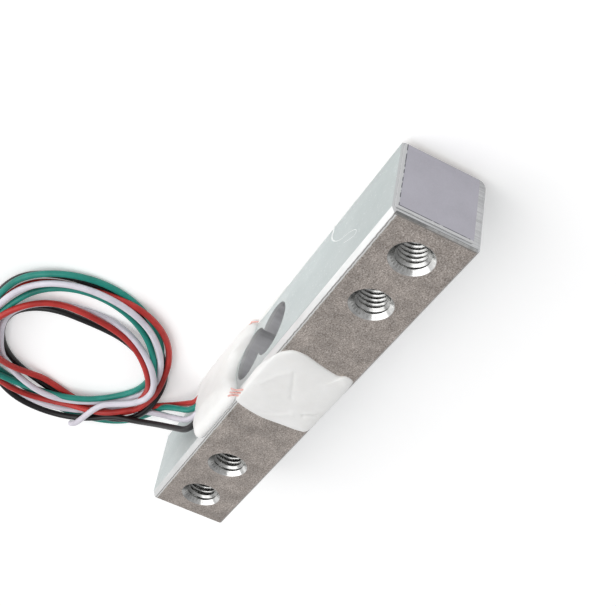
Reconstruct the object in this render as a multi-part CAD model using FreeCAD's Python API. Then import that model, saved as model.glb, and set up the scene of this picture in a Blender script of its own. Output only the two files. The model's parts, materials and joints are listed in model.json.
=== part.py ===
import FreeCAD, Part
import os
from math import cos, pi, tan

# Single point load cell: a square aluminium bar with a binocular hole through its
# middle, four foil strain gauges bonded over the thin walls that the hole leaves,
# silicone over the gauges and over the terminal board on the cable side, and four
# loose leads coiled beside the bar.
#
# Frame, in millimetres: +X from the fixed end to the loaded end, +Y out of the face
# that carries the leads, +Z up.  The origin is the centre of the flat underside of
# the lower silicone pad, which is what the cell stands on when it lies free.

# ---------------------------------------------------------------- driving sizes
# Bar
bar_length = 80.0
bar_width = 12.7
bar_height = 12.7
corner_radius = 0.5             # long corners of the drawn bar
worn_corner_radius = 1.2        # lower corner on the plain side
edge_bevel_top = 0.5            # bevel above the leads, measured across the top face
edge_bevel_side = 1.0           # the same bevel, measured down the side face
end_deburr = 0.3                # bevel round both sawn ends

# Mounting holes
hole_end_distance = 6.1
hole_pitch = 10.6
thread_diameter = 5.0
countersink_diameter = 6.2

# Binocular hole
lobe_radius = 4.2
lobe_spacing = 7.2

# Strain gauges
backing_length = 6.6
backing_width = 4.4
backing_thickness = 0.06
foil_thickness = 0.03
strand_count = 10               # even, so that both ends of the strip reach the tabs
strand_length = 3.2
strand_width = 0.14
strand_gap = 0.13
tab_size = 1.1
tab_neck = 0.3                  # bare strip between each tab and the grid
tab_margin = 0.35               # from the tabs to the inner end of the backing

# Silicone over the gauges
pad_length = 17.1
pad_thickness = 0.8
pad_corner = 2.6
pad_rim_bevel = 0.45
pad_skew = 0.9                  # slant of the loaded-side edge
pad_inset = 0.6                 # from the bar's plain side to the silicone
pad_spill = 0.25                # skin that runs over the bar's edge on the lead side

# Terminal board and its silicone, on the lead side
board_length = 8.3
board_height = 8.2
board_thickness = 0.5
board_offset = -15.35           # from the middle of the bar to the middle of the board
copper_thickness = 0.05
lead_pad_length = 2.4
lead_pad_height = 1.3
lead_pad_pitch = 1.9
jumper_pad_length = 1.7
jumper_pad_height = 0.9
jumper_pad_pitch = 1.3
pad_row_margin = 0.4            # from the pads to the ends of the board
lead_solder_rise = 0.8
jumper_solder_rise = 0.35
solder_inset = 0.25             # slope of a solder mound's sides
cover_thickness = 1.8
cover_corner = 1.2
cover_rim_bevel = 0.7
cover_wrap = 1.1                # how far the silicone wraps under and over the bar's edges
cover_below = 0.55              # silicone below the bar's bottom face
cover_top_gap = 0.1             # from the silicone to the bar's top face
cover_mouth_gap = 0.9           # bare face round the hole's mouth
cover_upper_reach = 0.8         # past the end of the hole, along the top edge
cover_lower_reach = 3.3         # the same, along the bottom edge
# Ragged left edge, from the top down: share of the cover's height, reach past the board
cover_left_edge = [(1.0, 0.3), (0.85, 3.0), (0.56, 4.1), (0.25, 5.7), (0.0, 5.1)]

# Enamelled jumper wires between gauges and terminal board
jumper_diameter = 0.24
jumper_clearance = 0.03
jumper_edge_pitch = 0.75        # spacing of the three wires where they cross the edge
jumper_edge_offset = -4.6       # where the first one crosses, from the middle of the bar

# Leads
lead_diameter = 1.0
core_diameter = 0.5
core_length = 1.8
lead_straight_run = 9.5         # along the terminal board, before a lead's bend

# Coil of the four leads: an oval ring
coil_centre = (-28.2, 27.3)
coil_outer_half = (18.7, 16.0)
coil_outer_turn = 14.0
coil_bore_centre = (-29.2, 27.2)
coil_bore_half = (9.2, 12.4)
coil_bore_turn = -9.0
coil_height = 3.6
coil_rim_bevel = 0.9
oval_end_share = 0.88           # radius of an oval's ends against its shorter half-axis

# Label on the loaded end
label_width = 11.2
label_height = 11.5
label_thickness = 0.12
label_corner = 0.4
label_edge_gap = 0.3            # from the label to the bar's edge on the lead side
label_drop = 0.75               # from the bar's top face down to the label

# ---------------------------------------------------------------- derived places
bar_bottom = pad_thickness
bar_top = bar_bottom + bar_height
bar_middle = bar_bottom + bar_height / 2
half_length = bar_length / 2
half_width = bar_width / 2
board_face = half_width + board_thickness
copper_face = board_face + copper_thickness
lead_axis_y = board_face + lead_diameter / 2
inner_hole = half_length - hole_end_distance - hole_pitch
outer_hole = half_length - hole_end_distance
hole_places = (-outer_hole, -inner_hole, inner_hole, outer_hole)

lead_colours = ("black", "white", "green", "red")
lead_pad_x = board_offset - board_length / 2 + pad_row_margin + lead_pad_length / 2
jumper_pad_x = board_offset + board_length / 2 - pad_row_margin - jumper_pad_length / 2
lead_start_x = lead_pad_x - lead_pad_length / 2
lead_exit_x = lead_start_x - lead_straight_run
jumper_height = backing_thickness + foil_thickness + jumper_diameter / 2
jumper_y = copper_face + jumper_clearance + jumper_diameter / 2


def row_heights(count, pitch):
    """Heights of a column of pads, from the top down, centred on the bar."""
    return [bar_middle + (count - 1) * pitch / 2 - i * pitch for i in range(count)]


lead_heights = dict(zip(lead_colours, row_heights(len(lead_colours), lead_pad_pitch)))
jumper_heights = row_heights(6, jumper_pad_pitch)

# Each lead runs straight along the terminal board and out of the silicone, then down to
# its place inside the coil's ring.
lead_places_in_coil = {
    "black": (-41.6, 17.8, 2.6),
    "white": (-40.0, 17.8, 1.8),
    "green": (-38.2, 16.8, 1.4),
    "red": (-36.0, 15.2, 1.2),
}


# ---------------------------------------------------------------- helpers
def vec(x, y, z):
    return FreeCAD.Vector(x, y, z)


def rounded_edges(points):
    """Straight runs joined by tangent arcs, each as large as its two runs allow."""
    arcs = []
    radii = []
    for before, corner, after in zip(points, points[1:], points[2:]):
        into = corner - before
        out = after - corner
        reach = 0.45 * min(into.Length, out.Length)
        turn = into.getAngle(out)
        radius = reach / tan(turn / 2)
        into.normalize()
        out.normalize()
        towards_centre = (out - into).normalize()
        middle = corner + towards_centre * (radius / cos(turn / 2) - radius)
        arcs.append((corner - into * reach, middle, corner + out * reach))
        radii.append(radius)
    edges = []
    start = points[0]
    for arc in arcs:
        edges.append(Part.LineSegment(start, arc[0]).toShape())
        edges.append(Part.Arc(*arc).toShape())
        start = arc[2]
    edges.append(Part.LineSegment(start, points[-1]).toShape())
    return edges, radii


def ring_at(points, diameter):
    """The circle that a wire's section draws at the start of its route."""
    return Part.Wire(Part.Circle(points[0], points[1] - points[0], diameter / 2).toShape())


def tube(points, diameter):
    """A round tube along an open route; returns it with the radii of its bends and its length."""
    edges, radii = rounded_edges(points)
    path = Part.Wire(edges)
    return path.makePipe(Part.Face(ring_at(points, diameter))), radii, path.Length


def stiff_wire(points, diameter):
    """A fine wire bent sharply at each point of its route."""
    sharp_corners = 1
    return Part.makePolygon(points).makePipeShell([ring_at(points, diameter)], True, False, sharp_corners)


def passage(start, end, width):
    """A straight square passage, run on by half its width past both ends."""
    run = end - start
    low = vec(-width / 2, -width / 2, -width / 2)
    block = Part.makeBox(run.Length + width, width, width, low)
    block.Placement = FreeCAD.Placement(start, FreeCAD.Rotation(vec(1, 0, 0), run))
    return block


def rounded_slab(outline, rise, corner):
    """A polygon extruded by rise, with its corners rounded."""
    slab = Part.Face(Part.makePolygon(outline + outline[:1])).extrude(rise)
    uprights = [e for e in slab.Edges if abs(e.tangentAt(e.FirstParameter).dot(rise)) > 0.9 * rise.Length]
    return slab.makeFillet(corner, uprights)


def silicone_slab(outline, rise, corner, bevel):
    """A rounded slab whose far rim is bevelled."""
    slab = rounded_slab(outline, rise, corner)
    far_face = max(slab.Faces, key=lambda face: face.CenterOfMass.dot(rise))
    return slab.makeChamfer(bevel, far_face.Edges)


def edges_at(shape, axis, value):
    """The edges of a shape that lie wholly in the plane axis = value."""
    chosen = []
    for edge in shape.Edges:
        box = edge.BoundBox
        low = getattr(box, axis + "Min")
        high = getattr(box, axis + "Max")
        if abs(low - value) < 0.01 and abs(high - value) < 0.01:
            chosen.append(edge)
    return chosen


# ---------------------------------------------------------------- spring element
def bar_section():
    """The bar's cross-section, at its fixed end."""
    x = -half_length
    diagonal = 1 - cos(pi / 4)

    def rounded(y_side, z_side, radius):
        """Ends and middle of a rounded corner, from the side face to the flat face."""
        y = y_side * half_width
        z = bar_middle + z_side * bar_height / 2
        flank = vec(x, y, z - z_side * radius)
        middle = vec(x, y - y_side * radius * diagonal, z - z_side * radius * diagonal)
        flat = vec(x, y - y_side * radius, z)
        return flank, middle, flat

    lower_plain = rounded(-1, -1, worn_corner_radius)
    lower_lead = rounded(1, -1, corner_radius)
    upper_plain = rounded(-1, 1, corner_radius)
    bevel_low = vec(x, half_width, bar_top - edge_bevel_side)
    bevel_high = vec(x, half_width - edge_bevel_top, bar_top)
    edges = [
        Part.Arc(*lower_plain).toShape(),
        Part.LineSegment(lower_plain[2], lower_lead[2]).toShape(),
        Part.Arc(*reversed(lower_lead)).toShape(),
        Part.LineSegment(lower_lead[0], bevel_low).toShape(),
        Part.LineSegment(bevel_low, bevel_high).toShape(),
        Part.LineSegment(bevel_high, upper_plain[2]).toShape(),
        Part.Arc(*reversed(upper_plain)).toShape(),
        Part.LineSegment(upper_plain[0], lower_plain[0]).toShape(),
    ]
    return Part.Face(Part.Wire(edges))


def tapped_hole(x):
    """What a tapped hole removes: a bore at the thread's outer size, countersunk at both faces."""
    sink_radius = countersink_diameter / 2
    bore_radius = thread_diameter / 2
    depth = sink_radius - bore_radius
    bore = Part.makeCylinder(bore_radius, bar_height, vec(x, 0, bar_bottom))
    lower = Part.makeCone(sink_radius, bore_radius, depth, vec(x, 0, bar_bottom))
    upper = Part.makeCone(bore_radius, sink_radius, depth, vec(x, 0, bar_top - depth))
    return bore.fuse([lower, upper])


def spring_element():
    bar = bar_section().extrude(vec(bar_length, 0, 0))
    ends = edges_at(bar, "X", -half_length) + edges_at(bar, "X", half_length)
    bar = bar.makeChamfer(end_deburr, ends)
    lobes = []
    for side in (-1, 1):
        start = vec(side * lobe_spacing / 2, -half_width, bar_middle)
        lobes.append(Part.makeCylinder(lobe_radius, bar_width, start, vec(0, 1, 0)))
    holes = [tapped_hole(x) for x in hole_places]
    return bar.cut(lobes + holes)


# ---------------------------------------------------------------- strain gauges
def gauge_backing(end):
    """Film under one gauge; end is -1 for the fixed end and 1 for the loaded end."""
    corner = vec(end * lobe_spacing / 2 - backing_length / 2, -backing_width / 2, 0)
    return Part.makeBox(backing_length, backing_width, backing_thickness, corner)


def tab_place(end, row):
    """Centre of a gauge's solder tab; row is -1 or 1 across the bar."""
    inner_end = end * (lobe_spacing - backing_length) / 2
    x = inner_end + end * (tab_margin + tab_size / 2)
    y = row * (grid_width() - tab_size) / 2
    return x, y


def grid_width():
    return strand_count * strand_width + (strand_count - 1) * strand_gap


def gauge_grid(end):
    """Foil meander of one gauge with its two tabs, lying on the film."""
    tab_x = tab_place(end, 1)[0]
    tab_edge = tab_x + end * tab_size / 2
    near = tab_edge + end * tab_neck
    far = near + end * strand_length
    pitch = strand_width + strand_gap
    z = backing_thickness
    pieces = []
    for i in range(strand_count):
        y = -grid_width() / 2 + i * pitch
        low_x = min(near, far)
        pieces.append(Part.makeBox(strand_length, strand_width, foil_thickness, vec(low_x, y, z)))
    for i in range(strand_count - 1):
        y = -grid_width() / 2 + i * pitch
        turn_at = far - end * strand_gap if i % 2 == 0 else near
        low_x = min(turn_at, turn_at + end * strand_gap)
        span = pitch + strand_width
        pieces.append(Part.makeBox(strand_gap, span, foil_thickness, vec(low_x, y, z)))
    for row in (-1, 1):
        y = tab_place(end, row)[1]
        low = vec(tab_x - tab_size / 2, y - tab_size / 2, z)
        pieces.append(Part.makeBox(tab_size, tab_size, foil_thickness, low))
        neck_y = row * (grid_width() - strand_width) / 2 - strand_width / 2
        pieces.append(Part.makeBox(tab_neck, strand_width, foil_thickness, vec(min(tab_edge, near), neck_y, z)))
    return pieces[0].fuse(pieces[1:]).removeSplitter()


def on_face(shape, face):
    """Puts a shape drawn upwards from Z = 0 onto the bar's top face (1) or under its bottom face (-1)."""
    placed = shape.copy()
    if face < 0:
        placed = placed.mirror(vec(0, 0, 0), vec(0, 0, 1))
    placed.translate(vec(0, 0, bar_top if face > 0 else bar_bottom))
    return placed


# ---------------------------------------------------------------- jumper wires
def jumper_routes(face):
    """Routes of the three enamelled wires from one face's tabs, over the bar's edge, to the board."""
    face_z = bar_top if face > 0 else bar_bottom
    pads = jumper_heights[:3] if face > 0 else jumper_heights[:2:-1]
    z = face_z + face * jumper_height
    # from the place nearest the pads to the farthest, so that no wire crosses another
    tabs = (tab_place(-1, -1), tab_place(-1, 1), tab_place(1, 1))
    routes = []
    for i, (x, y) in enumerate(tabs):
        edge_x = jumper_edge_offset - (len(tabs) - 1 - i) * jumper_edge_pitch
        routes.append([vec(x, y, z), vec(edge_x, jumper_y, z), vec(jumper_pad_x, jumper_y, pads[i])])
    return routes


def link_ends(face):
    """Ends of the short wire that links the two gauges of one face, tab to tab."""
    gap = jumper_diameter + jumper_clearance
    z = bar_top + jumper_height if face > 0 else bar_bottom - jumper_height
    start = vec(*tab_place(-1, -1), z)
    end = vec(*tab_place(1, -1), z)
    return [start + vec(gap, 0, 0), end]


def jumpers(face):
    wires = [stiff_wire(points, jumper_diameter) for points in jumper_routes(face)]
    start, end = link_ends(face)
    wires.append(Part.makeCylinder(jumper_diameter / 2, (end - start).Length, start, end - start))
    return Part.Compound(wires)


def jumper_passages(face):
    """Square passages that the wires of one face leave in silicone."""
    width = jumper_diameter + 2 * jumper_clearance
    cuts = [passage(*link_ends(face), width)]
    for points in jumper_routes(face):
        for start, end in zip(points, points[1:]):
            cuts.append(passage(start, end, width))
    return cuts


# ---------------------------------------------------------------- terminal board
def terminal_board():
    return Part.makeBox(board_length, board_thickness, board_height,
                        vec(board_offset - board_length / 2, half_width, bar_middle - board_height / 2))


def pad_places():
    """Centre, length and height of every copper pad on the board."""
    leads = [(lead_pad_x, z, lead_pad_length, lead_pad_height) for z in lead_heights.values()]
    wires = [(jumper_pad_x, z, jumper_pad_length, jumper_pad_height) for z in jumper_heights]
    return leads + wires


def terminal_pads():
    pads = []
    for x, z, length, height in pad_places():
        corner = vec(x - length / 2, board_face, z - height / 2)
        pads.append(Part.makeBox(length, copper_thickness, height, corner))
    return Part.Compound(pads)


def lead_cores():
    """Stripped inner ends of the four leads, over their pads."""
    cores = []
    for z in lead_heights.values():
        start = vec(lead_start_x, lead_axis_y, z)
        cores.append(Part.makeCylinder(core_diameter / 2, core_length, start, vec(1, 0, 0)))
    return Part.Compound(cores)


def solder_mounds():
    """A mound of solder over each pad."""
    mounds = []
    for x, z, length, height in pad_places():
        rise = lead_solder_rise if length == lead_pad_length else jumper_solder_rise
        left = x - length / 2
        low = z - height / 2
        mounds.append(Part.makeWedge(
            left, copper_face, low, low + solder_inset, left + solder_inset,
            left + length, copper_face + rise, low + height,
            low + height - solder_inset, left + length - solder_inset))
    return mounds


def wire_passages():
    """Passages for every wire that ends on the board."""
    passages = jumper_passages(1) + jumper_passages(-1)
    for z in lead_heights.values():
        start = vec(lead_start_x, lead_axis_y, z)
        passages.append(passage(start, start + vec(core_length, 0, 0), core_diameter))
    return passages


def solder_joints():
    """The mounds, each with a slot for the wire that it holds."""
    return Part.Compound([mound.cut(wire_passages()) for mound in solder_mounds()])


# ---------------------------------------------------------------- leads and coil
def oval(centre, half, turn):
    """A face in the plane Z = 0, bounded by an oval of four tangent arcs; turn is its X half-axis's angle."""
    long_half = max(half)
    short_half = min(half)
    end_radius = oval_end_share * short_half
    end_x = long_half - end_radius
    side_radius = (end_x ** 2 + short_half ** 2 - end_radius ** 2) / (2 * (short_half - end_radius))
    stretch = side_radius / (side_radius - end_radius)
    joint_x = end_x * stretch
    joint_y = (side_radius - short_half) * (stretch - 1)
    joints = [vec(joint_x, joint_y, 0), vec(-joint_x, joint_y, 0),
              vec(-joint_x, -joint_y, 0), vec(joint_x, -joint_y, 0)]
    middles = [vec(0, short_half, 0), vec(-long_half, 0, 0), vec(0, -short_half, 0), vec(long_half, 0, 0)]
    arcs = [Part.Arc(joints[i - 1], middles[i - 1], joints[i]).toShape() for i in range(len(joints))]
    face = Part.Face(Part.Wire(arcs))
    face.rotate(vec(0, 0, 0), vec(0, 0, 1), turn if half[0] >= half[1] else turn + 90)
    face.translate(vec(*centre, 0))
    return face


def coil_outline():
    """The coil's ring with its middle filled in and its rims left sharp."""
    return oval(coil_centre, coil_outer_half, coil_outer_turn).extrude(vec(0, 0, coil_height))


def lead_coil():
    bore = oval(coil_bore_centre, coil_bore_half, coil_bore_turn).extrude(vec(0, 0, coil_height))
    ring = coil_outline().cut(bore)
    return ring.makeChamfer(coil_rim_bevel, edges_at(ring, "Z", coil_height))


def lead_tube(colour):
    """One lead from its solder joint to the coil's rim."""
    height = lead_heights[colour]
    points = [vec(lead_start_x, lead_axis_y, height), vec(lead_exit_x, lead_axis_y, height),
              vec(*lead_places_in_coil[colour])]
    solid, radii, length = tube(points, lead_diameter)
    section = pi * lead_diameter ** 2 / 4
    print(colour, "lead: bend radii", [round(r, 1) for r in radii],
          "volume / (section x length)", round(solid.Volume / (section * length), 4))
    return solid.cut(coil_outline())


# ---------------------------------------------------------------- silicone
def gauge_pad(face, bar):
    """Silicone over the gauges of one face, run over the bar's edge on the lead side."""
    drop = edge_bevel_side if face > 0 else corner_radius
    x = pad_length / 2
    low = pad_inset - half_width
    high = half_width + pad_spill
    outline = [vec(-x, low, -drop), vec(x - pad_skew, low, -drop), vec(x, high, -drop), vec(-x, high, -drop)]
    slab = silicone_slab(outline, vec(0, 0, drop + pad_thickness), pad_corner, pad_rim_bevel)
    recesses = []
    for end in (-1, 1):
        corner = vec(end * lobe_spacing / 2 - backing_length / 2, -backing_width / 2, -drop)
        depth = drop + backing_thickness + foil_thickness
        recesses.append(Part.makeBox(backing_length, backing_width, depth, corner))
    return on_face(slab.cut(recesses), face).cut([bar] + jumper_passages(face))


def side_cover(bar, inside):
    """Silicone over the terminal board, round the end of the hole and over both edges."""
    start = half_width - cover_wrap
    top = bar_top - cover_top_gap
    floor = bar_bottom - cover_below
    board_end = board_offset - board_length / 2
    hole_end = -lobe_spacing / 2 - lobe_radius
    outline = [vec(board_end - reach, start, floor + share * (top - floor)) for share, reach in cover_left_edge]
    outline.append(vec(hole_end + cover_lower_reach, start, floor))
    outline.append(vec(hole_end + cover_upper_reach, start, top))
    blob = silicone_slab(outline, vec(0, cover_wrap + cover_thickness, 0), cover_corner, cover_rim_bevel)
    mouth = Part.makeCylinder(lobe_radius + cover_mouth_gap, cover_wrap + cover_thickness,
                              vec(-lobe_spacing / 2, start, bar_middle), vec(0, 1, 0))
    return blob.cut([bar, mouth] + inside)


# ---------------------------------------------------------------- label
def end_label():
    right = half_width - label_edge_gap
    left = right - label_width
    top = bar_top - label_drop
    bottom = top - label_height
    outline = [vec(half_length, left, bottom), vec(half_length, right, bottom),
               vec(half_length, right, top), vec(half_length, left, top)]
    return rounded_slab(outline, vec(label_thickness, 0, 0), label_corner)


# ---------------------------------------------------------------- build
def build():
    nodes = {}
    bar = spring_element()
    nodes["spring_element"] = bar
    faces = {"top": 1, "bottom": -1}
    ends = {"fixed": -1, "loaded": 1}
    for face_name, face in faces.items():
        for end_name, end in ends.items():
            place = face_name + "_" + end_name
            nodes["gauge_backing_" + place] = on_face(gauge_backing(end), face)
            nodes["gauge_grid_" + place] = on_face(gauge_grid(end), face)
        nodes["jumpers_" + face_name] = jumpers(face)

    nodes["terminal_board"] = terminal_board()
    nodes["terminal_pads"] = terminal_pads()
    nodes["lead_cores"] = lead_cores()
    nodes["solder_joints"] = solder_joints()

    nodes["lead_coil"] = lead_coil()
    for colour in lead_colours:
        nodes["lead_" + colour] = lead_tube(colour)

    for face_name, face in faces.items():
        nodes[face_name + "_silicone"] = gauge_pad(face, bar)

    inside = [nodes["terminal_board"], nodes["terminal_pads"]] + solder_mounds() + wire_passages()
    inside += [nodes["lead_" + colour] for colour in lead_colours]
    inside += [nodes["top_silicone"], nodes["bottom_silicone"]]
    nodes["side_silicone"] = side_cover(bar, inside)
    nodes["end_label"] = end_label()
    return nodes


os.makedirs("parts", exist_ok=True)
for name, shape in build().items():
    print(name, "solids", len(shape.Solids), "valid", shape.isValid(), "volume", round(shape.Volume, 3))
    shape.exportStep("parts/" + name + ".step")
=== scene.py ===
import json
from math import ceil, cos, floor, pi, radians, sin

import bpy
import numpy as np
from mathutils import Matrix, Vector, noise


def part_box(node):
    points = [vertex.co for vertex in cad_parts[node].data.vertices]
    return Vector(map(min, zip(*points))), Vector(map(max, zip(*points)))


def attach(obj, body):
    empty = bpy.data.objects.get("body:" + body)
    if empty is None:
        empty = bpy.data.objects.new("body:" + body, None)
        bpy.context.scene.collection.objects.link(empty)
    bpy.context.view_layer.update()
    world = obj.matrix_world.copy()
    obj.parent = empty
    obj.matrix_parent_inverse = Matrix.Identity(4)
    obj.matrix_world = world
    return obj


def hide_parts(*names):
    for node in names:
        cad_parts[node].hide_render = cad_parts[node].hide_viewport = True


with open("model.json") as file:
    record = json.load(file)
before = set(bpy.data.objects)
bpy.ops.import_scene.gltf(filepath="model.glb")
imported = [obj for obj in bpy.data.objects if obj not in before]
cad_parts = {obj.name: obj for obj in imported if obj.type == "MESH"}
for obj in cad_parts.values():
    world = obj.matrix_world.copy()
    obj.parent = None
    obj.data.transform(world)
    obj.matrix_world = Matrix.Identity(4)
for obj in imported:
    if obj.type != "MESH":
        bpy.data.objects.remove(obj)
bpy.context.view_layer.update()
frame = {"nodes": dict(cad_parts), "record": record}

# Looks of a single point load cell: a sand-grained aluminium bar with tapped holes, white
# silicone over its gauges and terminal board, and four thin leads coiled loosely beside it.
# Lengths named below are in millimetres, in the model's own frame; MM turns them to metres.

MM = 0.001

bar_low, bar_high = (Vector(corner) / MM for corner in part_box("spring_element"))
bar_end, half_width = bar_high.x, bar_high.y
bar_length = bar_high.x - bar_low.x
bar_bottom, bar_top = bar_low.z, bar_high.z
bar_middle = (bar_bottom + bar_top) / 2

bolts = next(mount for mount in frame["record"]["mounts"] if mount["name"] == "loaded_end_bolts")
hole_pair_middle = bolts["pos_m"][0] / MM
hole_pitch = bolts["dims"]["spacing_x_mm"]


# ---------------------------------------------------------------- helpers
def new_object(name, data):
    """A piece of the load cell: linked, riding on the body."""
    obj = bpy.data.objects.new(name, data)
    bpy.context.scene.collection.objects.link(obj)
    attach(obj, "root")
    return obj


def mesh_object(name, points_mm, faces, material):
    """A smooth-shaded mesh."""
    mesh = bpy.data.meshes.new(name)
    mesh.from_pydata([Vector(p) * MM for p in points_mm], [], faces)
    mesh.polygons.foreach_set("use_smooth", [True] * len(mesh.polygons))
    mesh.materials.append(material)
    mesh.update()
    return new_object(name, mesh)


def nurbs_tube(name, points_mm, radius_mm, material, steps, roundness, swelling=()):
    """A round tube on one open spline that has the given points as its control points.

    swelling is what the radius is multiplied by at each point, where it isn't even. It is set
    before the tube is linked, because the tube's bounds come out wrong if it is set later.
    """
    curve = bpy.data.curves.new(name, "CURVE")
    curve.dimensions = "3D"
    spline = curve.splines.new("NURBS")
    spline.points.add(len(points_mm) - 1)
    for point, place in zip(spline.points, points_mm):
        point.co = (*(Vector(place) * MM), 1)
    for point, factor in zip(spline.points, swelling):
        point.radius = factor
    spline.order_u = 3
    spline.use_endpoint_u = True
    spline.resolution_u = steps
    curve.bevel_depth = radius_mm * MM
    curve.bevel_resolution = roundness
    curve.use_fill_caps = True
    curve.materials.append(material)
    return new_object(name, curve)


def catmull_rom(values, place):
    """Smooth interpolation through equally spaced values; place is a fractional index."""
    last = len(values) - 1
    i = min(int(floor(place)), last - 1)
    t = place - i
    before, a, b, after = (values[min(max(i + k, 0), last)] for k in (-1, 0, 1, 2))
    return 0.5 * (2 * a + (b - before) * t + (2 * before - 5 * a + 4 * b - after) * t ** 2
                  + (3 * a - before - 3 * b + after) * t ** 3)


# ---------------------------------------------------------------- materials
def rgba(colour):
    """A colour or a grey level, with full opacity."""
    return (*colour, 1) if hasattr(colour, "__len__") else (colour, colour, colour, 1)


class Surface:
    """A node material under construction: a Principled shader and helpers that feed it."""

    def __init__(self, name, **constants):
        self.material = bpy.data.materials.new(name)
        self.material.use_nodes = True
        self.nodes = self.material.node_tree.nodes
        self.links = self.material.node_tree.links
        self.shader = self.nodes["Principled BSDF"]
        self.coordinates = self.nodes.new("ShaderNodeTexCoord").outputs["Object"]
        for socket, value in constants.items():
            self.shader.inputs[socket.replace("_", " ")].default_value = value

    def feed(self, socket, value):
        """Links another node's output to a socket, or sets the socket to a constant."""
        if isinstance(value, bpy.types.NodeSocket):
            self.links.new(value, socket)
        else:
            socket.default_value = rgba(value) if socket.type == "RGBA" else value

    def noise(self, scale, detail=4.0, roughness=0.55, stretch=(1, 1, 1)):
        """Grain of the given number of features per metre."""
        mapping = self.nodes.new("ShaderNodeMapping")
        mapping.inputs["Scale"].default_value = stretch
        self.links.new(self.coordinates, mapping.inputs["Vector"])
        grain = self.nodes.new("ShaderNodeTexNoise")
        grain.inputs["Scale"].default_value = scale
        grain.inputs["Detail"].default_value = detail
        grain.inputs["Roughness"].default_value = roughness
        self.links.new(mapping.outputs["Vector"], grain.inputs["Vector"])
        return grain.outputs["Fac"]

    def ramp(self, source, *stops):
        """A colour ramp; each stop is (position, colour or grey level)."""
        ramp = self.nodes.new("ShaderNodeValToRGB")
        elements = ramp.color_ramp.elements
        for i, (position, colour) in enumerate(stops):
            element = elements[i] if i < 2 else elements.new(position)
            element.position = position
            element.color = rgba(colour)
        self.links.new(source, ramp.inputs["Fac"])
        return ramp.outputs["Color"]

    def math(self, operation, *values):
        node = self.nodes.new("ShaderNodeMath")
        node.operation = operation
        for socket, value in zip(node.inputs, values):
            self.feed(socket, value)
        return node.outputs["Value"]

    def place(self):
        """The object's x, y and z, in metres, as three sockets."""
        node = self.nodes.new("ShaderNodeSeparateXYZ")
        self.links.new(self.coordinates, node.inputs["Vector"])
        return node.outputs["X"], node.outputs["Y"], node.outputs["Z"]

    def share(self, coordinate, length_mm):
        """A distance as a share of a length."""
        return self.math("MULTIPLY", coordinate, 1 / length_mm / MM)

    def beyond(self, value, limit_mm, blur_mm):
        """1 where a distance is over the limit, 0 where it is under."""
        above = self.math("SUBTRACT", value, (limit_mm - blur_mm) * MM)
        blurred = self.math("DIVIDE", above, 2 * blur_mm * MM)
        return self.math("MINIMUM", self.math("MAXIMUM", blurred, 0.0), 1.0)

    def under(self, value, limit_mm, blur_mm):
        """1 where a distance is under the limit, 0 where it is over."""
        return self.math("SUBTRACT", 1.0, self.beyond(value, limit_mm, blur_mm))

    def between(self, value, low_mm, high_mm, blur_mm):
        """1 where a distance is between two limits."""
        over_low = self.beyond(value, low_mm, blur_mm)
        return self.math("MULTIPLY", over_low, self.under(value, high_mm, blur_mm))

    def mix(self, factor, a, b, blend="MIX"):
        node = self.nodes.new("ShaderNodeMix")
        node.data_type = "RGBA"
        node.blend_type = blend
        for socket, value in ((node.inputs["Factor"], factor), (node.inputs[6], a), (node.inputs[7], b)):
            self.feed(socket, value)
        return node.outputs[2]

    def times(self, a, b):
        """One colour multiplied by another."""
        return self.mix(1.0, a, b, "MULTIPLY")

    def colour(self, source):
        self.links.new(source, self.shader.inputs["Base Color"])

    def roughness(self, source):
        self.links.new(source, self.shader.inputs["Roughness"])

    def bump(self, source, height, strength, under=None):
        """Adds relief of the given height in millimetres; returns its normal."""
        node = self.nodes.new("ShaderNodeBump")
        node.inputs["Distance"].default_value = height * MM
        node.inputs["Strength"].default_value = strength
        self.links.new(source, node.inputs["Height"])
        if under is not None:
            self.links.new(under, node.inputs["Normal"])
        self.links.new(node.outputs["Normal"], self.shader.inputs["Normal"])
        return node.outputs["Normal"]


def insulation(name, dark, light):
    """Soft extruded insulation: nearly even colour, a slight waviness and a soft sheen."""
    surface = Surface(name, Specular_IOR_Level=0.35, Coat_Weight=0.15, Coat_Roughness=0.25)
    surface.colour(surface.ramp(surface.noise(260, 3), (0.3, dark), (0.7, light)))
    surface.roughness(surface.ramp(surface.noise(900, 2), (0.3, 0.34), (0.7, 0.46)))
    surface.bump(surface.noise(1800, 2), 0.02, 0.4)
    return surface.material


# ---------------------------------------------------------------- camera
camera_place = Vector((144.50, 51.32, 128.94)) * MM
camera_back = Vector((0.7225, 0.2624, 0.6396))
camera_up = Vector((0.5241, 0.3954, -0.7543))


def add_camera():
    """The bar seen from its loaded end, with the picture turned so that the floor is uppermost."""
    data = bpy.data.cameras.new("camera")
    data.sensor_width = 36.0
    data.lens = 77.91
    data.shift_x = -0.0078
    data.shift_y = 0.0434
    data.clip_start = 0.01
    camera = bpy.data.objects.new("camera", data)
    bpy.context.scene.collection.objects.link(camera)
    right = camera_up.cross(camera_back).normalized()
    up = camera_back.cross(right).normalized()
    rotation = Matrix((right, up, camera_back.normalized())).transposed()
    camera.matrix_world = Matrix.Translation(camera_place) @ rotation.to_4x4()
    bpy.context.scene.camera = camera


# ---------------------------------------------------------------- leads
LEAD_DIAMETER = 1.0
LEAD_AXIS_Y = 7.35
COIL_CENTRE = (-28.7, 27.2)
LOOP_START = 225                # direction of every lead's first mark, in degrees
MARKS_PER_TURN = 12
POINTS_PER_MARK = 2

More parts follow.
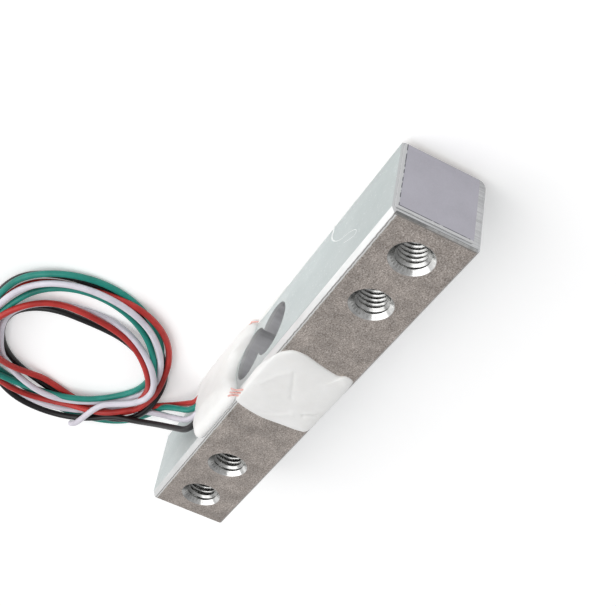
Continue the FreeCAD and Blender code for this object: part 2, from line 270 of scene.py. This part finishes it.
# Each lead: two shades, its height at the board, its points from there to the coil, the radius of
# its loops at marks a twelfth of a turn apart, clockwise from above, and the points of its free end
# where that leaves the coil.
LEADS = {
    "black": {
        "shades": ((0.002, 0.002, 0.002), (0.006, 0.006, 0.007)),
        "height": 10.0,
        "entry": [(-27.2, 8.9, 8.1), (-32.7, 10.9, 5.0), (-37.4, 13.2, 2.7)],
        "radii": [14.9, 17.0, 17.9, 15.9, 14.8, 15.8, 18.2, 17.6, 16.2, 14.2, 14.7, 15.7,
                  17.0, 13.7, 11.9, 12.1, 12.3, 12.2, 10.4, 8.4, 8.4, 10.1, 12.9],
    },
    "green": {
        "shades": ((0.004, 0.185, 0.145), (0.012, 0.29, 0.23)),
        "height": 6.2,
        "entry": [(-28.1, 9.4, 3.8), (-32.2, 10.5, 1.6), (-36.8, 11.0, 0.6)],
        "radii": [18.8, 17.4, 15.4, 15.0, 15.8, 15.6, 18.6, 18.9, 17.4, 15.2, 12.8, 12.4,
                  11.6, 11.3, 13.2, 15.0, 14.6, 14.3, 15.1, 15.3, 14.5, 13.6, 13.1],
    },
    "red": {
        "shades": ((0.36, 0.016, 0.013), (0.57, 0.038, 0.031)),
        "height": 4.3,
        "entry": [(-25.6, 8.1, 3.8), (-29.9, 9.2, 2.0), (-34.8, 12.0, 0.6)],
        "radii": [14.0, 13.3, 15.6, 15.6, 14.2, 14.9, 16.9, 16.8, 17.9, 16.4, 14.6, 14.8,
                  15.6, 12.2, 10.2, 12.0, 13.4, 14.6, 13.2, 11.3, 10.6, 11.3, 12.4, 13.4],
    },
    "white": {
        "shades": ((0.60, 0.57, 0.64), (0.76, 0.73, 0.80)),
        "height": 8.1,
        "entry": [(-28.5, 9.0, 5.4), (-32.9, 10.2, 2.6), (-36.6, 12.6, 0.8)],
        "radii": [15.4, 15.8, 17.3, 16.4, 15.2, 15.2, 17.3, 18.0, 17.2, 15.1, 13.7, 13.4,
                  12.7, 12.1, 12.2, 12.8, 12.1, 12.8, 11.9, 10.8, 11.2, 12.5, 13.5, 13.0],
        "free_end": [(-35.0, 16.5), (-37.0, 19.1), (-39.3, 20.2), (-42.6, 20.9), (-45.4, 21.3),
                     (-46.3, 21.8)],
    },
}
# The order in which stretches of the loops were laid: colour, first mark and last mark.
LAID_IN_TURN = [
    ("green", 0, 3), ("white", 0, 4), ("black", 11, 13.5), ("red", 11, 13.5), ("white", 11, 13.5),
    ("black", 0, 11), ("green", 3, 12), ("red", 0, 11), ("white", 4, 11), ("black", 13.5, None),
    ("green", 12, None), ("white", 13.5, 22), ("red", 13.5, None), ("white", 22, None),
]
LEAD_START_X = -19.1
LEAD_EXIT_X = -22.6
LEAD_LIFT = 0.7                 # rise of each lead from its start to its exit


def loop_points(radii):
    """Points on the loops, in plan, from the radii at the marks."""
    points = []
    for i in range((len(radii) - 1) * POINTS_PER_MARK + 1):
        mark = i / POINTS_PER_MARK
        radius = catmull_rom(radii, mark)
        angle = radians(LOOP_START - 360 * mark / MARKS_PER_TURN)
        points.append((COIL_CENTRE[0] + radius * cos(angle), COIL_CENTRE[1] + radius * sin(angle)))
    return points


def densified(points, spacing=0.5):
    """Points along the straight runs between the given ones, the spacing apart or a little less."""
    dense = []
    for a, b in zip(points, points[1:]):
        a, b = np.array(a, float), np.array(b, float)
        count = max(1, ceil(np.linalg.norm(b - a) / spacing))
        dense += [a + (b - a) * k / count for k in range(count)]
    return np.array(dense + [np.array(points[-1], float)])


def eased(heights):
    """The same heights, each drawn halfway towards the mean of those on either side."""
    padded = [heights[0]] + list(heights) + [heights[-1]]
    return [(a + 2 * b + c) / 4 for a, b, c in zip(padded, padded[1:], padded[2:])]


def resting_heights(plan, laid):
    """Height of a lead at each of its points, where it lies on the floor and on what is laid already."""
    heights = []
    places = [np.array(place) for place in plan]
    for before, here, after in zip(places[:1] + places, places, places[1:] + places[-1:]):
        near = densified([(before + here) / 2, here, (here + after) / 2])
        height = LEAD_DIAMETER / 2
        for stretch in laid:
            across = np.linalg.norm(stretch[None, :, :2] - near[:, None, :], axis=2)
            over = across < LEAD_DIAMETER
            if over.any():
                rise = stretch[None, :, 2] + np.sqrt(np.maximum(LEAD_DIAMETER ** 2 - across ** 2, 0))
                height = max(height, rise[over].max())
        heights.append(height)
    return eased(heights)


def lay_loops():
    """Points of every lead's loops, by index, resting on each other in the order of laying."""
    plans = {colour: loop_points(lead["radii"]) + lead.get("free_end", [])
             for colour, lead in LEADS.items()}
    loops = {colour: {} for colour in LEADS}
    # Loops can rest on the entries of the three lower leads.
    laid = [densified(LEADS[colour]["entry"]) for colour in ("green", "red", "white")]
    for colour, first_mark, last_mark in LAID_IN_TURN:
        first = int(first_mark * POINTS_PER_MARK)
        end = len(plans[colour]) if last_mark is None else int(last_mark * POINTS_PER_MARK)
        part = plans[colour][first:end]
        placed = [(*xy, z) for xy, z in zip(part, resting_heights(part, laid))]
        loops[colour].update(zip(range(first, end), placed))
        laid.append(densified(placed))
    return loops


def lead_routes():
    """Route of every lead, from the terminal board to its free end."""
    routes = {}
    for colour, points in lay_loops().items():
        lead = LEADS[colour]
        start = [(LEAD_START_X, LEAD_AXIS_Y, lead["height"]),
                 (LEAD_EXIT_X, LEAD_AXIS_Y, lead["height"] + LEAD_LIFT)]
        loop = [points[i] for i in sorted(points)]
        loop = [(x, y, z) for (x, y, _), z in zip(loop, eased([z for _, _, z in loop]))]
        routes[colour] = start + lead["entry"] + loop
    return routes


def add_lead(colour, route):
    lead = LEADS[colour]
    finish = insulation("insulation_" + colour, *lead["shades"])
    cord = nurbs_tube("lead_" + colour + "_cord", route, LEAD_DIAMETER / 2, finish, 6, 6)
    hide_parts("lead_" + colour, "lead_coil")
    line = densified(route, 0.2)


# ---------------------------------------------------------------- bar
BEVEL_ACROSS = 0.5              # bevel over the leads, measured across the top face
BEVEL_DOWN = 1.0                # the same bevel, measured down the side
EDGE_ROUND = 0.5                # the bar's other long edges
END_DEBURR = 0.3
COUNTERSINK_RADIUS = 3.1
PAST_HOLE = 12.0                # from the middle of the bar to beyond the binocular hole


def sand_finish_and_shade(surface, grain):
    """The rolled faces: warm grey sand grain, a pale rim and a thin dark line by the bevel, and painted
    shade in a thin dark line by the loaded end and along the plain edge.
    """
    x, y, _ = surface.place()
    ragged = surface.math("MULTIPLY", surface.math("SUBTRACT", surface.noise(1500, 3), 0.5), 0.3 * MM)
    from_bevel = surface.math("SUBTRACT", (half_width - BEVEL_ACROSS) * MM, y)
    from_bevel = surface.math("ADD", from_bevel, ragged)
    # Painted shade: a dark strip along the plain long edge, standing in for a dark reflection there.
    painted_plain_edge_shade = surface.beyond(surface.math("MULTIPLY", y, -1.0), half_width - 0.30, 0.06)
    mottle = surface.noise(300, 6, 0.65)
    sand = surface.ramp(grain, (0.36, (0.29, 0.25, 0.222)), (0.49, (0.51, 0.455, 0.415)),
                        (0.60, (0.65, 0.595, 0.555)), (0.74, (0.95, 0.92, 0.89)))
    sand = surface.times(sand, surface.ramp(mottle, (0.3, 0.70), (0.7, 1.14)))
    sand = surface.mix(surface.beyond(from_bevel, 0.42, 0.06), (0.86, 0.86, 0.85), sand)
    sand = surface.mix(surface.between(from_bevel, 0.07, 0.20, 0.04), sand, (0.38, 0.37, 0.36))
    # Painted shade: a thin dark line by the loaded end, standing in for a dark reflection on the deburr.
    sand = surface.mix(surface.between(x, bar_end - 0.45, bar_end - 0.28, 0.05), sand, (0.30, 0.29, 0.28))
    return surface.mix(painted_plain_edge_shade, sand, (0.24, 0.23, 0.22))


def milled_finish(surface, haze):
    """The milled sides: cool grey with pale specks, a little darker towards the loaded end."""
    milled = surface.ramp(haze, (0.3, (0.535, 0.585, 0.58)), (0.7, (0.64, 0.68, 0.675)))
    specks = surface.ramp(surface.noise(2600, 2), (0.62, 0.0), (0.74, 0.5))
    milled = surface.mix(specks, milled, (0.86, 0.88, 0.88))
    along = surface.share(surface.place()[0], bar_length)
    return surface.times(milled, surface.ramp(along, (0.18, 1.0), (0.36, 0.90)))


def edge_finish_and_shade(surface):
    """The long edges, bright on the lead side, with painted shade on the plain one and towards the fixed
    end, and the deburred ends.
    """
    x, y, _ = surface.place()
    streaks = surface.noise(1200, 2, 0.5, (0.3, 1, 1))
    edge = surface.ramp(streaks, (0.3, (0.86, 0.87, 0.865)), (0.7, (0.95, 0.955, 0.95)))
    # Painted shade: the edges darken towards the fixed end, standing in for a weaker reflection of the
    # light there.
    from_loaded_end = surface.math("SUBTRACT", 0.5, surface.share(x, bar_length))
    edge = surface.times(edge, surface.ramp(from_loaded_end, (0.35, 1.0), (0.9, 0.72)))
    # Painted shade: the edges on the plain side are dark, standing in for the dark they reflect.
    edge = surface.mix(surface.beyond(y, 0.0, 0.5), (0.34, 0.33, 0.32), edge)
    at_end = surface.beyond(surface.math("ABSOLUTE", x), bar_end - END_DEBURR, 0.03)
    return surface.mix(at_end, edge, (0.50, 0.505, 0.51))


def turned_finish_and_shade(surface):
    """The countersinks and tapped holes: turned rings, darker on the lead side by painted shade."""
    rings = surface.noise(1500, 2, 0.5, (1, 1, 0.3))
    turned = surface.ramp(rings, (0.3, (0.56, 0.56, 0.55)), (0.7, (0.80, 0.80, 0.79)))
    # Painted shade: darker towards the lead side, standing in for the dark that the hollow reflects
    # there.
    across = surface.share(surface.place()[1], 2 * COUNTERSINK_RADIUS)
    return surface.times(turned, surface.ramp(across, (0.0, 1.0), (0.34, 0.50)))


def from_nearest_bolt(surface):
    """Distance in plan from the axis of the nearest tapped hole."""
    x, y, _ = surface.place()
    along = surface.math("ABSOLUTE", x)
    from_pair = surface.math("ABSOLUTE", surface.math("SUBTRACT", along, hole_pair_middle * MM))
    from_axis = surface.math("SUBTRACT", from_pair, hole_pitch / 2 * MM)
    squares = [surface.math("POWER", side, 2.0) for side in (from_axis, y)]
    return surface.math("SQRT", surface.math("ADD", *squares))


def bar_material():
    """Aluminium: sand-grained rolled faces, milled sides, sawn ends, bright edges and bores, with painted
    shade on the edges and in the countersinks and holes.
    """
    surface = Surface("bar_aluminium", Metallic=1.0)
    x, y, z = surface.place()
    along, across = surface.math("ABSOLUTE", x), surface.math("ABSOLUTE", y)
    from_middle = surface.math("ABSOLUTE", surface.math("SUBTRACT", z, bar_middle * MM))
    rolled = surface.math("MULTIPLY", surface.beyond(from_middle, bar_top - bar_middle - 0.03, 0.02),
                          surface.beyond(from_nearest_bolt(surface), COUNTERSINK_RADIUS + 0.02, 0.05))
    milled = surface.beyond(across, half_width - 0.04, 0.02)
    sawn = surface.beyond(along, bar_end - 0.05, 0.02)
    inside = surface.under(across, half_width - BEVEL_ACROSS - 0.05, 0.03)
    bored = surface.math("MULTIPLY", inside, surface.under(along, PAST_HOLE, 0.1))

    grain = surface.noise(4800, 3, 0.8)
    haze = surface.noise(260, 5, 0.6, (0.5, 1, 1))
    saw_marks = surface.noise(2600, 2, 0.5, (1, 0.04, 1))
    bore_marks = surface.noise(900, 2, 0.5, (1, 0.12, 1))
    bore_colour = surface.ramp(bore_marks, (0.3, (0.77, 0.77, 0.78)), (0.7, (0.93, 0.93, 0.94)))
    sawn_colour = surface.ramp(saw_marks, (0.36, (0.38, 0.385, 0.39)), (0.62, (0.51, 0.515, 0.52)))

    colour = surface.mix(inside, edge_finish_and_shade(surface), turned_finish_and_shade(surface))
    colour = surface.mix(bored, colour, bore_colour)
    colour = surface.mix(milled, colour, milled_finish(surface, haze))
    colour = surface.mix(sawn, colour, sawn_colour)
    surface.colour(surface.mix(rolled, colour, sand_finish_and_shade(surface, grain)))
    rough = surface.mix(inside, 0.40, 0.20)
    rough = surface.mix(bored, rough, 0.32)
    rough = surface.mix(milled, rough, surface.ramp(haze, (0.3, 0.40), (0.7, 0.50)))
    surface.roughness(surface.mix(rolled, rough, surface.ramp(grain, (0.3, 0.50), (0.7, 0.60))))
    relief = surface.mix(rolled, surface.mix(sawn, haze, saw_marks), grain)
    surface.bump(relief, 0.03, 0.6)
    return surface.material


# ---------------------------------------------------------------- threads
THREAD_PITCH = 0.8
THREAD_ROOT_RADIUS = 2.54
THREAD_CREST_RADIUS = 2.08
THREAD_STEPS = 32
THREAD_PROFILE = [(-0.38, THREAD_ROOT_RADIUS), (-0.06, THREAD_CREST_RADIUS),
                  (0.06, THREAD_CREST_RADIUS), (0.38, THREAD_ROOT_RADIUS)]
THREAD_INSET = 0.5              # from each face of the bar to the middle of the thread's end


def thread_material():
    """Cut aluminium, darker on the lead side by painted shade."""
    surface = Surface("thread_aluminium", Metallic=1.0)
    cut = surface.ramp(surface.noise(2400, 3), (0.3, (0.42, 0.42, 0.405)), (0.7, (0.64, 0.64, 0.63)))
    # Painted shade: darker towards the lead side, as in the countersinks.
    across = surface.share(surface.place()[1], 2 * THREAD_ROOT_RADIUS)
    surface.colour(surface.times(cut, surface.ramp(across, (0.0, 1.0), (0.30, 0.45))))
    surface.roughness(surface.ramp(surface.noise(1500, 2), (0.3, 0.20), (0.7, 0.32)))
    surface.bump(surface.noise(3000, 2), 0.01, 0.3)
    return surface.material


def add_thread(name, x, material):
    """One tapped thread: a V-shaped ridge wound up the bore, cut back by both countersinks."""
    low, high = bar_bottom + THREAD_INSET, bar_top - THREAD_INSET
    steps = int((high - low) / THREAD_PITCH * THREAD_STEPS)
    corners = len(THREAD_PROFILE)
    points, faces = [], []
    for i in range(steps + 1):
        turn = 2 * pi * i / THREAD_STEPS
        rise = low + THREAD_PITCH * i / THREAD_STEPS
        for offset, radius in THREAD_PROFILE:
            z = rise + offset
            depth = min(z - bar_bottom, bar_top - z)
            r = max(radius, COUNTERSINK_RADIUS - depth)
            points.append((x + r * cos(turn), r * sin(turn), z))
    for i in range(steps):
        for k in range(corners):
            a, b = i * corners + k, i * corners + (k + 1) % corners
            faces.append((a, b, b + corners, a + corners))
    faces += [tuple(range(corners)), tuple(range(len(points) - 1, len(points) - 1 - corners, -1))]
    thread = mesh_object(name, points, faces, material)
    thread.data.set_sharp_from_angle(angle=radians(35))


def add_threads():
    material = thread_material()
    for side, end in ((-1, "fixed"), (1, "loaded")):
        for step, place in ((-1, "inner"), (1, "outer")):
            x = side * (hole_pair_middle + step * hole_pitch / 2)
            add_thread("thread_" + end + "_" + place, x, material)


# ---------------------------------------------------------------- silicone
RIM_POINTS = 220
RINGS = 34
STEEPNESS = 5.0                 # the higher, the nearer to its rim a smear thins out
SUNK = 0.06                     # depth of a smear's underside below the bar's skin


class Wrap:
    """The bar's skin unrolled from its plain upper edge, over the lead side, to its lower one.

    Distance v runs across the top face, over the bevel, down the side and across the
    bottom face; flip turns it upside down.
    """

    RUN_ON = 2                  # the top face is carried on by this much before v = 0

    def __init__(self, bevel_flat, bevel_side, flip=False):
        corners = [(-half_width - self.RUN_ON, bar_top), (half_width - bevel_flat, bar_top),
                   (half_width, bar_top - bevel_side), (half_width, bar_bottom + EDGE_ROUND),
                   (half_width - EDGE_ROUND, bar_bottom), (-half_width, bar_bottom)]
        self.corners = np.array(corners)
        if flip:
            self.corners[:, 1] = 2 * bar_middle - self.corners[:, 1]
        runs = np.linalg.norm(np.diff(self.corners, axis=0), axis=1)
        self.lengths = np.concatenate([[0], np.cumsum(runs)]) - self.RUN_ON
        self.turn = -1 if flip else 1

    def at(self, v):
        return np.stack([np.interp(v, self.lengths, self.corners[:, k]) for k in (0, 1)], axis=-1)

    def outward(self, v, blur=0.9):
        """Outward direction, turning gradually round the bar's edges."""
        along = self.at(v + blur) - self.at(v - blur)
        normal = np.stack([-along[..., 1], along[..., 0]], axis=-1) * self.turn
        return normal / np.linalg.norm(normal, axis=-1, keepdims=True)


def smooth_outline(points, count):
    """A closed smooth curve through the given points."""
    closed = [np.array(p, float) for p in points[-2:] + points + points[:3]]
    places = np.linspace(0, len(points), count, endpoint=False)
    return np.array([catmull_rom(closed, place + 2) for place in places])


def distance_to_line(x, v, line):
    """Distance from points to a chain of straight runs."""
    nearest = np.full(x.shape, 1e3)
    for (ax, av), (bx, bv) in zip(line, line[1:]):
        length = (bx - ax) ** 2 + (bv - av) ** 2
        t = np.clip(((x - ax) * (bx - ax) + (v - av) * (bv - av)) / length, 0, 1)
        nearest = np.minimum(nearest, np.hypot(x - ax - t * (bx - ax), v - av - t * (bv - av)))
    return nearest


def lumpiness(a, b, seed):
    """Broad unevenness with a little finer unevenness on it."""
    broad = noise.noise(Vector((a * 0.33, b * 0.33, seed)))
    return broad + 0.4 * noise.noise(Vector((a, b, seed + 7)))


def smear_height(x, v, shares, thickness, marks, unevenness, seed):
    """Thickness of a smear at every point, with lumps and marks that fade at its rim."""
    height = thickness * (1 - shares[:, None] ** STEEPNESS) ** 0.55 * np.ones_like(x)
    fade = 1 - shares[:, None] ** 6
    lumps = np.array([[lumpiness(a, b, seed) for a, b in zip(*row)] for row in zip(x, v)])
    height = height + unevenness * lumps * fade
    for line, rise, width in marks:
        height = height + rise * np.exp(-(distance_to_line(x, v, line) / width) ** 2) * fade
    return np.maximum(height, 0)


def shell_faces(rings, around):
    """Faces of a closed shell: rings of the upper skin, of the lower one, then their two middles."""
    below = rings * around
    top_middle, low_middle = 2 * below, 2 * below + 1
    last = (rings - 1) * around
    faces = []
    for j in range(around):
        k = (j + 1) % around
        faces.append((top_middle, j, k))
        faces.append((low_middle, below + k, below + j))
        for a in range(0, last, around):
            b = a + around
            faces.append((a + j, b + j, b + k, a + k))
            faces.append((below + a + k, below + b + k, below + b + j, below + a + j))
        faces.append((last + k, last + j, below + last + j, below + last + k))
    return faces


def add_silicone(name, node, wrap, outline, material, centre, thickness,
                 marks=(), unevenness=0.07, lowest=None, seed=0.0):
    """A smear of silicone on the bar, rolled over at its rim and closed underneath.

    marks are creases and ridges: (points, height, width).
    """
    rim = smooth_outline(outline, RIM_POINTS)
    shares = np.sin(np.linspace(0, 1, RINGS) * pi / 2)
    centre = np.array(centre)
    grid = centre + shares[:, None, None] * (rim[None] - centre)
    x, v = grid[..., 0], grid[..., 1]
    height = smear_height(x, v, shares, thickness, marks, unevenness, seed)
    base, outward = wrap.at(v), wrap.outward(v)
    upper = base + outward * height[..., None]
    lower = base - outward * SUNK
    if lowest is not None:
        upper[..., 1] = np.maximum(upper[..., 1], lowest)
    points = []
    for skin in (upper, lower):
        points += [(a, *p) for a, p in zip(x[1:].ravel(), skin[1:].reshape(-1, 2))]
    points += [(centre[0], *skin[0, 0]) for skin in (upper, lower)]
    pad = mesh_object(name, points, shell_faces(RINGS - 1, RIM_POINTS), material)
    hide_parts(node)


def silicone_material():
    """Cured white sealant: satin, slightly translucent, with smear marks and fine pits."""
    surface = Surface("silicone_white", Subsurface_Weight=0.25, Subsurface_Scale=0.0012,
                      Specular_IOR_Level=0.5, Coat_Weight=0.1, Coat_Roughness=0.3)
    surface.shader.inputs["Subsurface Radius"].default_value = (1.0, 0.95, 0.9)
    tint = surface.noise(220, 4)
    surface.colour(surface.ramp(tint, (0.3, (0.825, 0.82, 0.80)), (0.7, (0.885, 0.88, 0.865))))
    surface.roughness(surface.ramp(surface.noise(700, 3), (0.3, 0.36), (0.7, 0.52)))
    smear = surface.bump(surface.noise(330, 3, 0.5, (0.5, 1, 1)), 0.10, 0.35)
    surface.bump(surface.noise(2600, 2), 0.015, 0.35, under=smear)
    return surface.material


# Outlines and marks, as x and the distance v round the bar; marks are (points, height, width).
TOP_OUTLINE = [(-6.3, 12.75), (-7.5, 11.3), (-8.3, 7.8), (-8.1, 4.5), (-7.8, 1.4), (-6.9, 0.35),
               (-2.4, 0.22), (2.0, 0.18), (6.6, 0.35), (7.75, 0.75), (7.95, 1.9), (7.4, 2.9), (7.9, 5.6),
               (8.65, 8.3), (8.7, 9.9), (8.2, 11.0), (6.7, 12.0), (3.8, 12.75), (0.8, 13.2), (-1.7, 13.1),
               (-4.4, 12.9)]
TOP_MARKS = [
    ([(-0.4, 11.4), (2.9, 10.2), (5.2, 8.6)], 0.10, 0.34),
    ([(5.2, 8.6), (2.6, 7.5), (-0.6, 6.2)], -0.10, 0.32),
    ([(-6.9, 8.8), (-5.3, 7.0), (-3.6, 5.2)], -0.10, 0.30),
    ([(-7.3, 8.0), (-5.8, 6.2), (-4.0, 4.4)], 0.12, 0.35),
    ([(-3.3, 2.9), (-2.3, 1.5)], -0.26, 0.30),
    ([(-2.5, 2.9), (-1.8, 1.6)], 0.20, 0.25),
    ([(7.1, 1.2), (7.5, 1.9)], 0.25, 0.5),
]
SIDE_OUTLINE = [(-20.0, 12.75), (-17.5, 12.5), (-14.0, 12.45), (-10.0, 12.4), (-7.4, 12.5), (-6.5, 13.2),
                (-7.0, 14.9), (-8.1, 16.7), (-8.8, 18.6), (-8.4, 20.3), (-7.2, 21.5), (-5.6, 22.3),
                (-4.3, 23.2), (-4.0, 24.5), (-5.0, 25.6), (-9.0, 26.1), (-14.0, 26.3), (-20.0, 26.1),
                (-24.0, 25.3), (-24.9, 23.4), (-24.3, 21.0), (-23.2, 18.5), (-22.4, 16.4), (-21.6, 14.3)]
SIDE_MARKS = [
    ([(-20.5, 15.5), (-16.0, 16.5), (-11.0, 15.4)], 0.16, 0.9),
    ([(-22.5, 21.0), (-17.0, 22.6), (-9.0, 22.9)], -0.10, 1.1),
    ([(-12.0, 13.8), (-9.5, 16.5)], -0.10, 0.5),
]


def add_silicones():
    material = silicone_material()
    over_bevel = Wrap(BEVEL_ACROSS, BEVEL_DOWN)
    upside_down = Wrap(EDGE_ROUND, EDGE_ROUND, flip=True)
    under = [(-x, v) for x, v in reversed(TOP_OUTLINE)]
    add_silicone("top_silicone_smear", "top_silicone", over_bevel, TOP_OUTLINE, material,
                 centre=(0.4, 6.8), thickness=0.78, marks=TOP_MARKS)
    add_silicone("bottom_silicone_smear", "bottom_silicone", upside_down, under, material,
                 centre=(-0.4, 6.8), thickness=0.84, lowest=0.0, seed=3.0)
    add_silicone("side_silicone_smear", "side_silicone", over_bevel, SIDE_OUTLINE, material,
                 centre=(-14.5, 19.2), thickness=1.75, marks=SIDE_MARKS, unevenness=0.16,
                 lowest=0.15, seed=5.0)


# ---------------------------------------------------------------- label, wires and board
LABEL_MARGIN = 0.46


def label_material():
    """Lilac-grey film with a pale margin and a thin broken border along two edges; bare face."""
    surface = Surface("label_film", Roughness=0.48, Specular_IOR_Level=0.4)
    label_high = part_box("end_label")[1] / MM
    _, y, z = surface.place()
    film = surface.ramp(surface.noise(260, 3), (0.3, (0.415, 0.405, 0.455)), (0.7, (0.46, 0.45, 0.505)))
    fibres = surface.ramp(surface.noise(5200, 1), (0.35, 0.0), (0.75, 0.14))
    film = surface.mix(fibres, film, (0.60, 0.59, 0.64))
    past_border = surface.math("MAXIMUM", surface.math("SUBTRACT", y, (label_high.y - LABEL_MARGIN) * MM),
                               surface.math("SUBTRACT", z, (label_high.z - LABEL_MARGIN) * MM))
    film = surface.mix(surface.beyond(past_border, 0.0, 0.03), film, (0.60, 0.605, 0.61))
    border = surface.under(surface.math("ABSOLUTE", past_border), 0.06, 0.03)
    broken = surface.ramp(surface.noise(1100, 2), (0.40, 0.0), (0.47, 1.0))
    surface.colour(surface.mix(surface.math("MULTIPLY", border, broken), film, (0.05, 0.05, 0.07)))
    surface.bump(surface.noise(1800, 2), 0.01, 0.4)
    return surface.material


def plain_material(name, dark, light, scale, roughness, metallic=0.0):
    """A small part's finish: two shades of one colour, uneven gloss and fine relief."""
    surface = Surface(name, Metallic=metallic)
    surface.colour(surface.ramp(surface.noise(scale), (0.3, dark), (0.7, light)))
    gloss = surface.noise(scale * 2)
    surface.roughness(surface.ramp(gloss, (0.3, roughness - 0.06), (0.7, roughness + 0.06)))
    surface.bump(surface.noise(scale * 3, 2), 0.01, 0.4)
    return surface.material


# Each slot's finish: name, two shades, grain per metre, roughness and, for a metal, 1.0.
PLAIN_FINISHES = {
    "enamelled_wire": ("wire_enamel", (0.72, 0.32, 0.28), (0.88, 0.55, 0.50), 1500, 0.32),
    "board_laminate": ("board_laminate", (0.30, 0.27, 0.09), (0.40, 0.37, 0.16), 1800, 0.45),
    "copper": ("pad_copper", (0.62, 0.30, 0.16), (0.80, 0.45, 0.28), 1200, 0.30, 1.0),
    "tinned_copper": ("core_tinned", (0.55, 0.55, 0.54), (0.72, 0.72, 0.71), 2500, 0.28, 1.0),
    "solder": ("solder_tin", (0.52, 0.53, 0.54), (0.74, 0.75, 0.76), 1400, 0.24, 1.0),
    "polyimide_film": ("gauge_film", (0.48, 0.24, 0.05), (0.60, 0.34, 0.09), 900, 0.25),
    "constantan_foil": ("gauge_foil", (0.50, 0.45, 0.38), (0.66, 0.60, 0.52), 1600, 0.34, 1.0),
}


def dress_nodes():
    """Gives every CAD part that stays its own finish."""
    finishes = {slot: plain_material(*finish) for slot, finish in PLAIN_FINISHES.items()}
    finishes["bar_aluminium"] = bar_material()
    finishes["label_film"] = label_material()
    slots = {part["node"]: part["material_slot"] for part in frame["record"]["subparts"]}
    for node, obj in frame["nodes"].items():
        finish = finishes.get(slots[node])
        if finish:
            obj.data.materials.clear()
            obj.data.materials.append(finish)


# ---------------------------------------------------------------- pen mark on the side
PEN_MARK = [(21.4, 1.0), (21.3, 2.0), (21.1, 2.9), (21.6, 3.9), (22.8, 5.1), (24.4, 6.1), (26.4, 6.7),
            (28.1, 7.3), (29.7, 8.4), (29.5, 9.2), (27.9, 8.7), (25.8, 7.8)]
PEN_RADIUS = 0.075
PEN_SUNK = 0.03                 # depth of the line's axis below the bar's side
PEN_STROKE = 3                  # last point of the firm first stroke
PEN_FIRM, PEN_FAINT = 1.9, 0.6


def add_pen_mark():
    """A faint pale squiggle of marking fluid on the lead side, firmer at its start."""
    fluid = plain_material("marking_fluid", (0.86, 0.88, 0.87), (0.96, 0.97, 0.96), 900, 0.5)
    points = [(x, half_width - PEN_SUNK, z) for x, z in PEN_MARK]
    swelling = [PEN_FIRM if i <= PEN_STROKE else PEN_FAINT for i in range(len(points))]
    mark = nurbs_tube("pen_mark", points, PEN_RADIUS, fluid, 12, 2, swelling)


# ---------------------------------------------------------------- floor, light and backdrop
FLOOR_LIFT = 0.24               # brightness added to the floor where it is seen
FLOOR_REACH = 3.0               # in metres, as are the lamp's size and place
LAMP_SIZE = 1.1
LAMP_PLACE = Vector((0.05, 0.60, 0.64))


def add_floor():
    """A plain white floor that keeps soft shadows, lifted a little where it is seen."""
    surface = Surface("floor_white", Roughness=0.9, Specular_IOR_Level=0.0)
    surface.colour(surface.ramp(surface.noise(3, 1), (0.0, 0.90), (1.0, 0.92)))
    lift = surface.nodes.new("ShaderNodeEmission")
    seen = surface.nodes.new("ShaderNodeLightPath").outputs
    rays = surface.math("MAXIMUM", seen["Is Camera Ray"],
                        surface.math("MAXIMUM", seen["Is Glossy Ray"], seen["Is Transmission Ray"]))
    surface.links.new(surface.math("MULTIPLY", rays, FLOOR_LIFT), lift.inputs["Strength"])
    both = surface.nodes.new("ShaderNodeAddShader")
    surface.links.new(surface.shader.outputs[0], both.inputs[0])
    surface.links.new(lift.outputs[0], both.inputs[1])
    surface.links.new(both.outputs[0], surface.nodes["Material Output"].inputs["Surface"])
    mesh = bpy.data.meshes.new("floor")
    corners = [(x * FLOOR_REACH, y * FLOOR_REACH, 0) for x, y in ((-1, -1), (1, -1), (1, 1), (-1, 1))]
    mesh.from_pydata(corners, [], [(0, 1, 2, 3)])
    mesh.materials.append(surface.material)
    stage = bpy.data.objects.new("floor", mesh)
    bpy.context.scene.collection.objects.link(stage)


def add_sky():
    """A studio sky: white low down, grey overhead."""
    world = bpy.data.worlds.new("studio")
    bpy.context.scene.world = world
    world.use_nodes = True
    nodes, links = world.node_tree.nodes, world.node_tree.links
    height = nodes.new("ShaderNodeSeparateXYZ")
    links.new(nodes.new("ShaderNodeTexCoord").outputs["Generated"], height.inputs["Vector"])
    sky = nodes.new("ShaderNodeValToRGB")
    stops = sky.color_ramp.elements
    stops[0].position, stops[0].color = 0.28, (1, 1, 1, 1)
    stops[1].position, stops[1].color = 0.55, (0.47, 0.47, 0.475, 1)
    links.new(height.outputs["Z"], sky.inputs["Fac"])
    links.new(sky.outputs["Color"], nodes["Background"].inputs["Color"])
    nodes["Background"].inputs["Strength"].default_value = 1.0


def add_lamp():
    """One broad round lamp, above and on the side of the leads."""
    lamp = bpy.data.lights.new("softbox", "AREA")
    lamp.shape = "DISK"
    lamp.size = LAMP_SIZE
    lamp.energy = 5.2
    softbox = bpy.data.objects.new("softbox", lamp)
    bpy.context.scene.collection.objects.link(softbox)
    softbox.location = LAMP_PLACE
    softbox.rotation_euler = (-LAMP_PLACE).to_track_quat("-Z", "Y").to_euler()


# ---------------------------------------------------------------- the whole scene
bpy.context.scene.view_settings.view_transform = "Standard"
add_camera()
for colour, route in lead_routes().items():
    add_lead(colour, route)
dress_nodes()
add_threads()
add_silicones()
add_pen_mark()
add_floor()
add_sky()
add_lamp()
